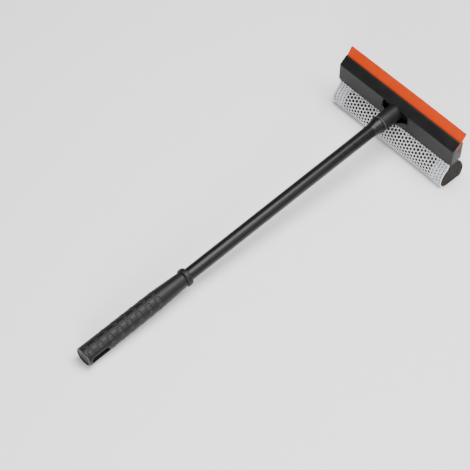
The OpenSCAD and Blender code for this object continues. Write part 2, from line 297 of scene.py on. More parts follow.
def moulded_plastic(name, dark, light, gloss, grain, grain_depth):
    """Black moulded plastic: a fine spark-eroded grain, a cloudy flow pattern that changes its
    shade and gloss a little, and a paler colour on corners and wherever the piece's own
    paleness value says: partly wear from hands, partly painted highlight on edges and tops."""
    material, shader = new_material(name, Specular_IOR_Level=0.2)
    place = add(material, "TexCoord").outputs["Object"]
    cloud = add(material, "TexNoise", {"Vector": place, "Scale": 60, "Detail": 4}).outputs["Fac"]
    fine = add(material, "TexNoise", {"Vector": place, "Scale": grain, "Detail": 2}).outputs["Fac"]
    pits = add(material, "TexVoronoi", {"Vector": place, "Scale": grain * 0.6}).outputs["Distance"]
    # Corners and the piece's paleness value are painted pale: partly wear, partly painted highlight
    # on edges, pad tops and lips.
    corner = add(material, "NewGeometry").outputs["Pointiness"]
    wear_and_glint_map = add(material, "Attribute", attribute_name="wear_and_highlight").outputs["Fac"]
    wear_and_highlight = add(material, "Math", {0: between(material, corner, 0, 0.45, 0.51, 0.58), 1: wear_and_glint_map},
                 operation="MAXIMUM").outputs[0]
    shade = tint(material, between(material, cloud, 0, 1), dark, light)
    wear_and_glint_paling = add(material, "Mix", {0: wear_and_highlight, 6: shade, 7: (*[4.5 * c for c in light], 1)},
               data_type="RGBA").outputs[2]
    rough = add(material, "Math", {0: between(material, cloud, gloss, gloss + 0.08),
                                   1: between(material, fine, -0.04, 0.04)}).outputs[0]
    relief = add(material, "Math", {0: fine, 1: pits}).outputs[0]
    bump = add(material, "Bump", {"Height": relief, "Strength": 0.5, "Distance": grain_depth})
    links = material.node_tree.links
    links.new(wear_and_glint_paling, shader.inputs["Base Color"])
    links.new(rough, shader.inputs["Roughness"])
    links.new(bump.outputs["Normal"], shader.inputs["Normal"])
    return material


head_plastic = moulded_plastic("head_plastic", (0.005, 0.0048, 0.0047), (0.007, 0.0068, 0.0066),
                               0.42, 2600, 0.05 * mm)

uphill = np.array((math.cos(jaw_slope), math.sin(jaw_slope)))
out_of_slot = np.array((math.cos(blade_slope), math.sin(blade_slope)))
across_slot = np.array((out_of_slot[1], -out_of_slot[0]))
lip = np.array((0, crease_rise)) + jaw_len * uphill
slot_mid = lip + (lip_t + blade_t / 2) * across_slot
slot_half = blade_t / 2 + slot_gap
back_lip = lip + (head_depth - lip[0]) / across_slot[0] * across_slot
bevel, crease_deep, crease_half = 0.9 * mm, 0.8 * mm, 0.45 * mm
front_wall, back_wall = slot_mid - slot_half * across_slot, slot_mid + slot_half * across_slot

# The outline of the body: up the front face to the crease, up the slope to the front lip, down
# into the blade's slot and out again, and down the back.
section = np.array(
    [(0, -head_drop), (0, crease_rise - crease_half), (crease_deep, crease_rise),
     crease_half * 1.4 * uphill + (0, crease_rise), lip - bevel * uphill,
     lip + bevel * across_slot, front_wall, front_wall - blade_in * out_of_slot,
     back_wall - blade_in * out_of_slot, back_wall, back_lip, (head_depth, -head_drop)])
section_radii = np.array([1.3, 0.25, 0.2, 0.25, 0.35, 0.35, 0.8, 0.4, 0.4, 0.35, 1.0, 1.3]) * mm

# The rings stand close together over the round hollow about the socket.
recess_r, recess_deep, recess_low, recess_high = 22.5 * mm, 5 * mm, -20 * mm, 8.2 * mm
fine_stations = np.arange(-24, 24.01, 0.6) * mm
far_stations = np.linspace(26 * mm, head_half - corner_cut, 16)
body_x, body_y, body_z = bar(section, section_radii, head_half, 0.5 * mm,
                             np.concatenate([fine_stations, far_stations, -far_stations]), 0.7 * mm)
edge_ease = 0.6 * mm
on_front = (np.abs(body_y) < 0.02 * mm) & (body_z < crease_rise - edge_ease)
recess = (smooth((recess_r - np.hypot(body_x, body_z)) / edge_ease)
          * smooth((recess_high - body_z) / edge_ease) * smooth((body_z - recess_low) / edge_ease))
body_y = body_y + on_front * recess_deep * recess
cut = np.maximum(np.abs(body_x) - (head_half - corner_cut), 0)
body_z = np.maximum(body_z, -head_drop + cut)


def revolved(profile, around=128):
    """Rings round the handle's axis through (y, radius) points: x is the radius times the sine
    of the angle, and z is the radius times its cosine."""
    angle = np.linspace(0, 2 * math.pi, around, endpoint=False)
    y, r = np.asarray(profile, float).T[..., None]
    return laid(r * np.sin(angle), y + 0 * angle, r * np.cos(angle))


# The profiles of turned pieces end at a small radius, where a flat cap closes them.
cap_r = 1 * mm
pilot_r, pilot_len, bore_r, bore_deep = 8.55 * mm, 5 * mm, 7.5 * mm, 29.5 * mm
neck_r, neck_sunk = 10.9 * mm, 9 * mm
socket = rounded(
    [(-socket_len + bore_deep, cap_r), (-socket_len + bore_deep, bore_r),
     (-socket_len + pilot_len, bore_r), (-socket_len + pilot_len, pilot_r),
     (-socket_len, pilot_r), (-socket_len, socket_r), (-0.5 * mm, socket_r), (0.3 * mm, neck_r),
     (neck_sunk, neck_r), (neck_sunk, cap_r)],
    np.array([0, 0.3, 0.2, 0.2, 0.4, 0.6, 0.5, 0.3, 0.1, 0]) * mm, closed=False)

apron_reach, apron_wall, apron_r = 19 * mm, 2 * mm, 24.5 * mm
rim_level, rim_dip = -5.5 * mm, math.radians(30)
foot_gap, apron_sunk = 0.3 * mm, 2 * mm
curl = np.linspace(0.02, math.acos((socket_r + apron_reach - apron_r) / apron_reach), 60)


def trumpet(bend, inner):
    """Radius and y of the trumpet that widens from the socket to the front face: a quarter
    circle about a ring outside it, at a bend from 0 at the socket."""
    r = apron_reach + inner
    return socket_r + apron_reach - r * np.cos(bend), r * np.sin(bend) - apron_reach


def rim_angle(radius, y):
    """Half angle, from straight down, at which the sloping plane of the rim cuts the trumpet:
    the arc cosine of the plane's depth under the axis over the radius."""
    return np.arccos(np.clip(-(rim_level + y * math.tan(rim_dip)) / radius, -1, 1))


# Each ring of the apron runs along its outer face and back along its inner face. The last one
# is sunk into the front wall, and the lowest points stay just above the foot of the head.
curl = curl[rim_angle(*trumpet(curl, 0)) > 0.05]
half_fan = rim_angle(*trumpet(curl, 0))
fan = np.linspace(-1, 1, 41)
apron = []
for inner, order in ((0, fan), (apron_wall, fan[::-1])):
    radius, apron_y = trumpet(curl, inner)
    swing = half_fan[:, None] * order
    apron.append(np.stack([radius[:, None] * np.sin(swing), apron_y[:, None] + 0 * swing,
                           np.maximum(-radius[:, None] * np.cos(swing), -head_drop + foot_gap)]))
apron = np.concatenate(apron, 2)
sunk = apron[:, -1:] + np.array((0, apron_sunk, 0))[:, None, None]
apron = np.concatenate([apron, sunk], 1)

make_piece("head_moulding", [skin(laid(body_x, body_y, body_z)), skin(revolved(socket)),
                             skin(laid(*apron))],
           head_plastic, "head", ["head_shell"])


# --- Blade ---------------------------------------------------------------------------------
# A strip of orange silicone rubber, pressed into the slot between the jaws and cut square at
# its edge and ends.
blade_out, blade_edge = 14.2 * mm, 0.2 * mm
blade_rubber, rubber_shader = new_material("blade_rubber", Specular_IOR_Level=0.1,
                                           Subsurface_Weight=0.15, Subsurface_Scale=0.002)
rubber_place = add(blade_rubber, "TexCoord").outputs["Object"]
rubber_cloud = add(blade_rubber, "TexNoise", {"Vector": rubber_place, "Scale": 45, "Detail": 3})
rubber_dust = add(blade_rubber, "TexNoise", {"Vector": rubber_place, "Scale": 2200, "Detail": 2})
blade_rubber.node_tree.links.new(
    tint(blade_rubber, between(blade_rubber, rubber_cloud.outputs["Fac"], 0, 1),
         (0.42, 0.027, 0.0), (0.46, 0.034, 0.0)), rubber_shader.inputs["Base Color"])
blade_rubber.node_tree.links.new(
    between(blade_rubber, rubber_dust.outputs["Fac"], 0.42, 0.6), rubber_shader.inputs["Roughness"])
blade_rubber.node_tree.links.new(
    add(blade_rubber, "Bump", {"Height": rubber_dust.outputs["Fac"], "Strength": 0.4,
                               "Distance": 0.03 * mm}).outputs["Normal"],
    rubber_shader.inputs["Normal"])

reach, half_t = (-blade_in + 0.05 * mm, blade_out), blade_t / 2
strip = [slot_mid + u * out_of_slot + v * across_slot
         for u, v in ((reach[0], -half_t), (reach[1], -half_t), (reach[1], half_t),
                      (reach[0], half_t))]
strip_x, strip_y, strip_z = bar(strip, [1.4 * blade_edge] * 4, head_half, blade_edge,
                                np.linspace(-head_half + mm, head_half - mm, 80), 1.5 * mm, 4)
# Out of the slot the rubber waves a little from side to side, and its edge stands a little
# lower at both ends.
outside = np.clip(((strip_y - slot_mid[0]) * out_of_slot[0]
                   + (strip_z - slot_mid[1]) * out_of_slot[1]) / blade_out, 0, 1)
wave = 0.12 * mm * np.sin(strip_x / (31 * mm)) + 0.07 * mm * np.sin(strip_x / (11 * mm) + 1)
bow = -0.3 * mm * (strip_x / head_half) ** 2
strip_y = strip_y + outside ** 2 * (wave * across_slot[0] + bow * out_of_slot[0])
strip_z = strip_z + outside ** 2 * (wave * across_slot[1] + bow * out_of_slot[1])
make_piece("blade_strip", [skin(laid(strip_x, strip_y, strip_z))], blade_rubber, "head",
           ["blade"])


# --- Sponge plate and its screws -----------------------------------------------------------
# A flat plastic plate that carries the sponge. Countersunk zinc-plated screws hold it to the
# bosses inside the head.
plate_half, plate_inset, plate_top, plate_t = 101 * mm, 1.2 * mm, -22.5 * mm, 2.6 * mm
plate = [(plate_inset, plate_top), (plate_inset, plate_top - plate_t),
         (head_depth - plate_inset, plate_top - plate_t), (head_depth - plate_inset, plate_top)]
make_piece("sponge_plate_moulding", [skin(laid(*bar(plate, [0.8 * mm] * 4, plate_half, 0.5 * mm)))],
           head_plastic, "head", ["sponge_plate"])

screw_zinc, zinc_shader = new_material("screw_zinc", Metallic=1.0)
zinc_place = add(screw_zinc, "TexCoord").outputs["Object"]
zinc_blotch = add(screw_zinc, "TexNoise", {"Vector": zinc_place, "Scale": 900, "Detail": 3})
screw_zinc.node_tree.links.new(
    tint(screw_zinc, zinc_blotch.outputs["Fac"], (0.5, 0.5, 0.52), (0.68, 0.68, 0.7)),
    zinc_shader.inputs["Base Color"])
screw_zinc.node_tree.links.new(
    between(screw_zinc, zinc_blotch.outputs["Fac"], 0.25, 0.42), zinc_shader.inputs["Roughness"])
screws = frame["nodes"]["plate_screws"]
screws.data.materials.clear()
screws.data.materials.append(screw_zinc)


# --- Sponge --------------------------------------------------------------------------------
# A bar of dark open-cell foam glued under the plate. It sags backwards and lies flat where it
# meets the floor, and its bare ends swell a little out of the net.
sponge_half, sponge_edge, sponge_dome = 101 * mm, 2.2 * mm, 0.8 * mm
lumpy_end = 3 * mm
sponge_side = np.array([
    (2.2, -26.0), (-0.8, -30.6), (-6.8, -36.6), (-10.6, -46.5), (-9.4, -57.0), (-2.5, -65.5),
    (11.0, -70.0), (24.0, -69.5), (30.8, -61.5), (31.4, -51.5), (28.2, -41.0), (22.0, -31.5),
    (16.8, -26.0)]) * mm


def through(points, count):
    """Catmull-Rom curve: between two points it is the cubic that leaves each of them parallel
    to the line between the points on either side of it. The ends repeat their own point."""
    last = len(points) - 1
    t = np.linspace(0, last, count)
    start = np.minimum(t.astype(int), last - 1)
    f = (t - start)[:, None]
    p0, p1, p2, p3 = (points[np.clip(start + k, 0, last)] for k in (-1, 0, 1, 2))
    return p1 + 0.5 * f * (p2 - p0 + f * (2 * p0 - 5 * p1 + 4 * p2 - p3
                                          + f * (3 * (p1 - p2) + p3 - p0)))


def resting(points, height, ease=1.6 * mm):
    """The points with a soft lower limit on their height over the floor: a hyperbola that runs
    from the level limit into the points' own height."""
    z = points[..., 2] - height
    points[..., 2] = height + 0.5 * (z + np.sqrt(z * z + ease * ease))
    return points


def ripple(points, size, seed):
    """Soft lumps of about a size: the mean of sines along seeded directions."""
    source = np.random.default_rng(seed)
    waves = source.normal(size=(9, 3)) / size
    return np.sin(points @ waves.T + source.uniform(0, 2 * math.pi, 9)).mean(-1)


glue_level = plate_top - plate_t - 0.02 * mm
foam_top = np.stack([np.linspace(16.0, 2.8, 12) * mm, np.full(12, glue_level)], -1)
foam_outline = np.vstack([through(sponge_side, 150), foam_top])
foam_centre = foam_outline.mean(0)
foam_in = foam_centre - foam_outline
foam_in /= np.linalg.norm(foam_in, axis=1)[:, None]
places, depths = lengthwise(sponge_half, sponge_edge, np.linspace(-97, 97, 80) * mm)
foam_rings = [foam_outline + depth * foam_in for depth in depths]
# The bare ends are rings that shrink towards the middle and swell out by a parabola, with
# lumps of three sizes on them.
shrink = np.linspace(0.04, 0.97, 26)
caps = [foam_centre + s * (foam_rings[0] - foam_centre) for s in shrink]
foam_rings = np.stack(caps + foam_rings + caps[::-1])
dome = sponge_half + sponge_dome * (1 - shrink ** 2)
foam_x = np.concatenate([-dome, places, dome[::-1]])[:, None] + np.zeros(foam_rings.shape[1])
foam = laid(foam_x, foam_rings[..., 0], foam_rings[..., 1])
at_end = smooth((np.abs(foam_x) - (sponge_half - lumpy_end)) / lumpy_end)
foam[..., 0] += at_end * (0.5 * mm * ripple(foam, 3 * mm, 5)
                          + 0.3 * mm * ripple(foam, 1.1 * mm, 6))
foam[..., 1:] += (0.25 * mm * at_end * ripple(foam, 2.5 * mm, 7))[..., None]
foam = resting(foam, 1.0 * mm)

sponge_foam, foam_shader = new_material("sponge_foam", Specular_IOR_Level=0.1, Roughness=1.0)
foam_place = add(sponge_foam, "TexCoord").outputs["Object"]
pores = add(sponge_foam, "TexVoronoi", {"Vector": foam_place, "Scale": 700}).outputs["Distance"]
small_pores = add(sponge_foam, "TexVoronoi", {"Vector": foam_place, "Scale": 1500}
                  ).outputs["Distance"]
foam_cloud = add(sponge_foam, "TexNoise", {"Vector": foam_place, "Scale": 140, "Detail": 5}
                 ).outputs["Fac"]
# The pores are painted near black as painted shade inside the foam's holes; the walls between them
# keep the foam's grey.
cells = add(sponge_foam, "Math", {0: between(sponge_foam, pores, 0, 1, 0.1, 0.5),
                                  1: between(sponge_foam, small_pores, 0, 1, 0.05, 0.5)}
            ).outputs[0]
wall = between(sponge_foam, cells, 0, 1, 0.25, 1.3)
foam_colour = add(sponge_foam, "Mix", {
    0: wall, 6: (0.0015, 0.0013, 0.0012, 1),
    7: tint(sponge_foam, between(sponge_foam, foam_cloud, 0, 1), (0.02, 0.017, 0.015),
            (0.036, 0.0306, 0.027))}, data_type="RGBA").outputs[2]
sponge_foam.node_tree.links.new(foam_colour, foam_shader.inputs["Base Color"])
sponge_foam.node_tree.links.new(
    add(sponge_foam, "Bump", {"Height": wall, "Strength": 1.0, "Distance": 0.4 * mm}
        ).outputs["Normal"], foam_shader.inputs["Normal"])
sponge = make_piece("sponge_bar", [skin(foam)], sponge_foam, "head",
                    ["sponge_core"], sharp=60)


# --- Net -----------------------------------------------------------------------------------
# A knitted net of white synthetic yarn with six-sided meshes, pulled round the sponge, folded
# double into a hem at both ends, and pinched between the plate and the head.
net_half, mesh_wide, mesh_high = 99.5 * mm, 4.6 * mm, 5.2 * mm
net_lift, hem_columns, hem_lift, hem_sunk = 0.8 * mm, 4, 0.4 * mm, 0.3 * mm
hole_wide, hole_high, crown = 2.0 * mm, 2.15 * mm, 0.42

round_sponge = through(sponge_side, 400)
way = np.gradient(round_sponge, axis=0)
away = np.stack([way[:, 1], -way[:, 0]], -1) / np.linalg.norm(way, axis=1)[:, None]
away *= np.sign((away * (round_sponge - foam_centre)).sum())
# Both edges of the net lie between the plate and the head and run out round the plate's
# corners.
front_pinch = np.array([(4.4, -22.25), (1.3, -22.25), (0.5, -22.7), (0.45, -24.4)]) * mm
back_pinch = np.array([(18.35, -24.4), (18.3, -22.7), (17.5, -22.25), (14.4, -22.25)]) * mm
net_path = np.vstack([front_pinch, round_sponge + net_lift * away, back_pinch])
path_run = np.concatenate([[0], np.cumsum(np.linalg.norm(np.diff(net_path, axis=0), axis=1))])
rows = round(path_run[-1] / mesh_high)
mesh_high = path_run[-1] / rows


def on_net(x, w, height):
    """Points of the net: x along the blade, w along the path round the sponge, and a height
    over that path, square to it. The direction of the path comes from two points a step on
    either side, and turned by a quarter it gives the way up."""
    y, z = (np.interp(w, path_run, net_path[:, k]) for k in (0, 1))
    step = 0.4 * mm
    turn_y, turn_z = (np.interp(w + step, path_run, net_path[:, k])
                      - np.interp(w - step, path_run, net_path[:, k]) for k in (0, 1))
    length = np.hypot(turn_y, turn_z)
    side = np.sign(net_path[0, 0] - net_path[-1, 0])
    return laid(x, y - height * side * turn_z / length, z + height * side * turn_y / length)


# Corners of one mesh: neighbours stand one height away up and down, and half a height away
# one width to each side; the walls are halfway to them.
tip = (mesh_wide ** 2 + mesh_high ** 2 / 4) / 2 / mesh_wide
shoulder = tip - mesh_high ** 2 / 4 / mesh_wide
hexagon = np.array([(tip, 0), (shoulder, mesh_high / 2), (-shoulder, mesh_high / 2), (-tip, 0),
                    (-shoulder, -mesh_high / 2), (shoulder, -mesh_high / 2)])
per_side = 3
sides = 6 * per_side
share = np.arange(per_side)[:, None] / per_side
border = (hexagon[:, None] * (1 - share) + np.roll(hexagon, -1, 0)[:, None] * share).reshape(-1, 2)
heading = np.arctan2(border[:, 1] / hole_high, border[:, 0] / hole_wide)
hole = np.stack([hole_wide * np.cos(heading), hole_high * np.sin(heading)], -1)
reach_out = np.array([1, crown, 0, 1])[:, None, None]
cell = hole + reach_out * (border - hole)
cell_height = np.array([0.16, 0.38, 0.04, -0.14]) * mm

columns = 1 + int((2 * net_half - 2 * tip) / mesh_wide)
mesh_step = (2 * net_half - 2 * tip) / (columns - 1)


def mesh_centres(column, shift):
    """Centres of the meshes in some columns: every other column is half a mesh higher."""
    column, row = (v.ravel() for v in np.meshgrid(column, np.arange(rows), indexing="ij"))
    lifted = (column + shift) % 2
    inside = row < rows - lifted
    return np.stack([-net_half + tip + column * mesh_step,
                     (row + 0.5 + 0.5 * lifted) * mesh_high], -1)[inside]


def net_layer(centres, lift):
    """Points of one layer of meshes. Each mesh is four rings: its border,
    the crown of the yarn, the edge of its hole and its border again underneath. Where no
    neighbour shares a border point, top and bottom close on each other."""
    flat = centres[:, None, None] + cell
    edge = np.round(flat[:, 0] / (0.02 * mm)).astype(np.int64).reshape(-1, 2)
    _, which, uses = np.unique(edge, axis=0, return_inverse=True, return_counts=True)
    at_corner = np.tile(np.arange(sides) % per_side == 0, len(centres))
    shared = uses[which.ravel()] >= np.where(at_corner, 3, 2)
    height = np.broadcast_to(cell_height[:, None], flat.shape[:3]).copy()
    height[:, 0] *= shared.reshape(-1, sides)
    height[:, 3] *= shared.reshape(-1, sides)
    return on_net(flat[..., 0], flat[..., 1], height + lift(flat[..., 0]))


def bulge(x):
    """Lift of the outer layer over the folded hems, eased in over a few millimetres."""
    start = net_half - (hem_columns + 0.8) * mesh_step
    return hem_lift * smooth((np.abs(x) - start) / (2.5 * mm))


# The folded hems are a second layer of meshes under the first, shifted by half a mesh.
hem_x = np.concatenate([np.arange(hem_columns), np.arange(columns - hem_columns, columns)])
layers = np.concatenate([
    net_layer(mesh_centres(np.arange(columns), 0), bulge),
    net_layer(mesh_centres(hem_x, 1), lambda x: 0 * x - hem_sunk)])
layers = resting(layers, 0.5 * mm)
ring, k = np.indices((3, sides))
one_mesh = np.stack([ring * sides + k, ring * sides + (k + 1) % sides,
                     (ring + 1) * sides + (k + 1) % sides, (ring + 1) * sides + k], -1)
mesh_starts = np.arange(len(layers)) * 4 * sides
mesh_quads = (one_mesh.reshape(1, -1, 4) + mesh_starts[:, None, None]).reshape(-1, 4)
net_points, net_faces = [layers.reshape(-1, 3)], mesh_quads.tolist()

# The folds at the ends are finished with a rolled edge, a circle carried along the net's path.
rolled_r = 0.42 * mm
run = np.linspace(0.3 * mm, path_run[-1] - 0.3 * mm, 260)[:, None]
circle = np.linspace(0, 2 * math.pi, 8, endpoint=False)[None]
for side in (-1, 1):
    tube = on_net(side * (net_half - 0.1 * mm) + rolled_r * np.cos(circle) + 0 * run,
                  run + 0 * circle, 0.2 * mm + rolled_r * np.sin(circle) + 0 * run)
    tube, tube_faces = skin(resting(tube, 0.6 * mm))
    first = sum(len(points) for points in net_points)
    net_faces += [[v + first for v in face] for face in tube_faces]
    net_points.append(tube)

net_mesh = bpy.data.meshes.new("net_bag")
net_mesh.from_pydata(np.vstack(net_points), [], net_faces)

# Texture places: round the mesh in turns of the yarn's twist, and across the yarn from its
# border over the crown to the hole and underneath.
twists = 12
outward = np.array([1, crown, 0, -1])
one_uv = np.stack([np.stack([k, k + 1, k + 1, k], -1) * twists / sides,
                   np.stack([outward[ring], outward[ring], outward[ring + 1],
                             outward[ring + 1]], -1)], -1)
net_uv = np.zeros((len(net_mesh.loops), 2), np.float32)
net_uv[:mesh_quads.size] = np.tile(one_uv.reshape(-1, 2), (len(layers), 1))
net_mesh.uv_layers.new(name="yarn").data.foreach_set("uv", net_uv.ravel())

# Meshes that touch are welded along their shared borders.
weld = 0.012 * mm
knit = bmesh.new()
knit.from_mesh(net_mesh)
bmesh.ops.remove_doubles(knit, verts=knit.verts, dist=weld)
bmesh.ops.recalc_face_normals(knit, faces=knit.faces)
knit.to_mesh(net_mesh)
knit.free()
net_mesh.shade_smooth()

net_yarn, yarn_shader = new_material("net_yarn", Specular_IOR_Level=0.35, Roughness=0.6,
                                     Sheen_Weight=0.3, Sheen_Roughness=0.4)
yarn = add(net_yarn, "SeparateXYZ", {0: add(net_yarn, "UVMap", uv_map="yarn").outputs["UV"]})
slant = add(net_yarn, "Math", {0: yarn.outputs["Y"], 1: 1.3, 2: yarn.outputs["X"]},
            operation="MULTIPLY_ADD").outputs[0]
twist = add(net_yarn, "Math", {0: slant, 1: 2 * math.pi}, operation="MULTIPLY").outputs[0]
strand = add(net_yarn, "Math", {0: twist}, operation="SINE").outputs[0]
yarn_place = add(net_yarn, "TexCoord").outputs["Object"]
fuzz = add(net_yarn, "TexNoise", {"Vector": yarn_place, "Scale": 5000, "Detail": 3}).outputs["Fac"]
soil = add(net_yarn, "TexNoise", {"Vector": yarn_place, "Scale": 60, "Detail": 4}).outputs["Fac"]
# The grooves of the yarn's twist are painted a darker grey-blue, as painted shade between the
# plies.
groove = between(net_yarn, strand, 0, 1, -1.0, 0.2)
yarn_colour = add(net_yarn, "Mix", {
    0: groove, 6: (0.6, 0.62, 0.67, 1),
    7: tint(net_yarn, between(net_yarn, soil, 0, 1), (0.86, 0.87, 0.9), (0.93, 0.935, 0.95))},
    data_type="RGBA").outputs[2]
net_yarn.node_tree.links.new(yarn_colour, yarn_shader.inputs["Base Color"])
yarn_relief = add(net_yarn, "Math", {0: fuzz, 1: 0.6, 2: strand},
                  operation="MULTIPLY_ADD").outputs[0]
net_yarn.node_tree.links.new(
    add(net_yarn, "Bump", {"Height": yarn_relief, "Strength": 0.7, "Distance": 0.12 * mm}
        ).outputs["Normal"], yarn_shader.inputs["Normal"])
net_mesh.materials.append(net_yarn)
net = bpy.data.objects.new("net_bag", net_mesh)
bpy.context.scene.collection.objects.link(net)
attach(net, "head")
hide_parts("net_sleeve")


# --- Washer and collar ---------------------------------------------------------------------
# A thin nylon ring sits between the socket and the flared black plastic collar of the handle.
# The collar's spigot has a plain pilot and a moulded screw thread that goes into the socket.
washer_t, rim_len, flare_len, pole_r = 1.6 * mm, 1.8 * mm, 15 * mm, 9.1 * mm
collar_front = -socket_len - washer_t
flare_end = collar_front - rim_len
pole_front = flare_end - flare_len
washer_in = 8.7 * mm
# The washer's grey is painted paler than the handle's black, as a painted glint along the ring's
# edges.
washer_plastic = moulded_plastic("washer_plastic", (0.03, 0.03, 0.03), (0.04, 0.04, 0.04),
                                 0.28, 3000, 0.03 * mm)
slack = 0.05 * mm
washer_ends = collar_front + slack, -socket_len - slack
washer = rounded([(washer_ends[0], washer_in), (washer_ends[1], washer_in),
                  (washer_ends[1], socket_r), (washer_ends[0], socket_r)],
                 np.array([0.1, 0.1, 0.6, 0.6]) * mm)
make_piece("washer_ring", [skin(revolved(washer), "joined")], washer_plastic, "washer",
           ["washer"])

handle_plastic = moulded_plastic("handle_plastic", (0.005, 0.005, 0.005), (0.007, 0.007, 0.007),
                                 0.27, 3000, 0.03 * mm)
spigot_r, core_r, thread_high, pitch, turns = 8.5 * mm, 6.3 * mm, 0.9 * mm, 4 * mm, 5
thread_start = -socket_len + pilot_len
spigot_tip = thread_start + pitch * turns + 3 * mm
run_out, tail_step = 0.3 * mm, 1 * mm
widen = np.linspace(0, 1, 24)
flare = np.stack([pole_front + flare_len * widen, pole_r + (socket_r - pole_r) * smooth(widen)], -1)
collar = np.vstack([
    [(pole_front, pole_r - tail_step)], flare[:-1],
    rounded([(flare_end, socket_r), (collar_front, socket_r), (collar_front, spigot_r),
             (thread_start - run_out, spigot_r), (thread_start - run_out, core_r),
             (spigot_tip, core_r), (spigot_tip, cap_r)],
            np.array([0, 0.6, 0.2, 0.4, 0.3, 1.0, 0]) * mm, closed=False)])

# The thread is a tooth of six corners, each a radius over the core and a place along the
# pitch, carried along a helix and faded out at both ends.
sweep = np.linspace(0, 2 * math.pi * turns, 48 * turns + 1)
fade = smooth(sweep / 0.6) * smooth((sweep[-1] - sweep) / 0.6)
tooth = np.array([(-0.3, 0.0), (0.0, 0.1), (thread_high / mm, 0.85), (thread_high / mm, 1.45),
                  (0.0, 2.2), (-0.3, 2.3)]) * mm
tooth_r = core_r + np.minimum(tooth[:, 0], 0) + fade[:, None] * np.maximum(tooth[:, 0], 0)
thread = laid(tooth_r * np.cos(sweep)[:, None],
              thread_start + pitch * sweep[:, None] / (2 * math.pi) + tooth[:, 1],
              -tooth_r * np.sin(sweep)[:, None])
make_piece("collar_moulding", [skin(revolved(collar)), skin(thread)], handle_plastic, "handle",
           ["collar"])


# --- Pole ----------------------------------------------------------------------------------
# A long tube of black plastic that tapers a little towards the grip, pressed over the collar's
# tail and into the grip.
pole_show, pole_grip_r, stop_w = 324.7 * mm, 8.75 * mm, 7.4 * mm
stop_front = pole_front - pole_show
stop_back = stop_front - stop_w
pole_end = stop_back - 6 * mm
pole = rounded([(pole_end, cap_r), (pole_end, pole_grip_r), (stop_front, pole_grip_r),
                (pole_front, pole_r), (pole_front, cap_r)],
               np.array([0, 0.3, 0.5, 0.12, 0]) * mm, closed=False)
make_piece("pole_tapered", [skin(revolved(pole))], handle_plastic, "handle",
           ["pole_tube"])


# --- Hand stop -----------------------------------------------------------------------------
# A round ring in front of the grip that keeps the hand from sliding off. It is moulded of the
# grip's black plastic and pushed over the pole.
stop_r, stop_round = 12.4 * mm, 2.6 * mm
grip_plastic = moulded_plastic("grip_plastic", (0.006, 0.006, 0.0058), (0.009, 0.009, 0.0086),
                               0.4, 1900, 0.06 * mm)
stop = rounded([(stop_back, pole_grip_r), (stop_front, pole_grip_r), (stop_front, stop_r),
                (stop_back, stop_r)],
               np.array([0.2 * mm, 0.2 * mm, stop_round, stop_round]), steps=9)
make_piece("hand_stop_ring", [skin(revolved(stop), "joined")], grip_plastic, "handle",
           ["hand_stop"])


# --- Grip ----------------------------------------------------------------------------------
# The grip, moulded of black plastic: eight rows of square pads, each row in a shallow band with
# scalloped edges, a nose that tapers down to the hand stop, and a long hole to hang it by.
grip_len, grip_r, grip_front_r, nose_len, nose_r = (
    160.5 * mm, 13.15 * mm, 12.6 * mm, 42 * mm, 10.3 * mm)
end_round, nose_round = 2.2 * mm, 1.2 * mm
pad_rows, pad_count, pad_pitch, pad_start, pad_turn = 8, 8, 15.2 * mm, 8 * mm, math.radians(25)
pad_half, pad_high, moat_deep, moat_wide = 2.8 * mm, 0.2 * mm, 0.45 * mm, 1.1 * mm
ridge_off, ridge_high = 2.9 * mm, 0.15 * mm
slot_half_len, slot_r, slot_edge = 9 * mm, 5 * mm, 4 * mm
lining_t, draw_near, lip_wide, lip_sunk = 0.25 * mm, 0.34 * mm, 1.4 * mm, 0.55 * mm
seat_r, grip_step = 10.7 * mm, 0.42 * mm
grip_back = stop_back - grip_len
nose_back = stop_back - nose_len
hook_mid = grip_back + slot_edge + slot_half_len + slot_r


def grip_radius(y):
    """Radius along the grip: the lesser of the long body's taper and the nose's taper, with a
    soft bend between them, and a quarter circle at each end."""
    body = grip_r + (grip_front_r - grip_r) * (y - grip_back) / (nose_back - grip_back)
    nose = nose_r + (grip_front_r - nose_r) * (stop_back - y) / nose_len
    radius = 0.5 * (body + nose - np.sqrt((body - nose) ** 2 + (0.25 * mm) ** 2))
    for edge, r in ((y - grip_back, end_round), (stop_back - y, nose_round)):
        inside = np.clip(r - edge, 0, r)
        radius = radius - r + np.sqrt(np.maximum(r * r - inside ** 2, 0))
    return radius


def pad_relief(angle, y):
    """Height of the pads over the grip's round. Across a row it goes by the arc from the row's
    middle, and along it by the distance from the nearest pad. A row beside the hanging hole
    leaves out its first two pads. A pad is a rounded square, the fourth root of the sum of
    fourth powers, with a moat round it and a square dimple in its middle. Between two pads runs
    a ridge that bows out from the row's edge by a parabola. The second result is how pale the
    place is painted, partly as wear from hands and partly as painted highlight: the pads' tops
    most, the ridges half as much."""
    step = 2 * math.pi / pad_rows
    off = (angle - pad_turn + step / 2) % step - step / 2
    beside_hole = np.abs(np.sin(angle - off)) > 0.7
    arc = off * grip_r
    first = np.where(beside_hole, 2, 0)
    place = (y - grip_back - pad_start) / pad_pitch
    gap = (place - np.clip(np.round(place), first, pad_count - 1)) * pad_pitch
    square = (np.abs(arc / pad_half) ** 4 + np.abs(gap / pad_half) ** 4) ** 0.25
    pad = smooth((1.06 - square) / 0.16)
    moat = smooth((1 + moat_wide / pad_half - square) / 0.16) * (1 - pad)
    dimple = smooth((0.42 - square) / 0.14)
    between_pads = np.clip(np.floor(place), first, pad_count - 2) + 0.5
    along = (place - between_pads) * pad_pitch
    bow = ridge_off + 0.9 * mm * (1 - (along / (3.4 * mm)) ** 2)
    ridge = np.exp(-((np.abs(arc) - bow) / (0.55 * mm)) ** 2) * smooth(
        (5.2 * mm - np.abs(along)) / mm)
    height = pad_high * (pad - 1.2 * dimple) - moat_deep * moat + ridge_high * ridge * (1 - moat)
    return height, np.maximum(pad * (1 - dimple), 0.5 * ridge * (1 - moat))


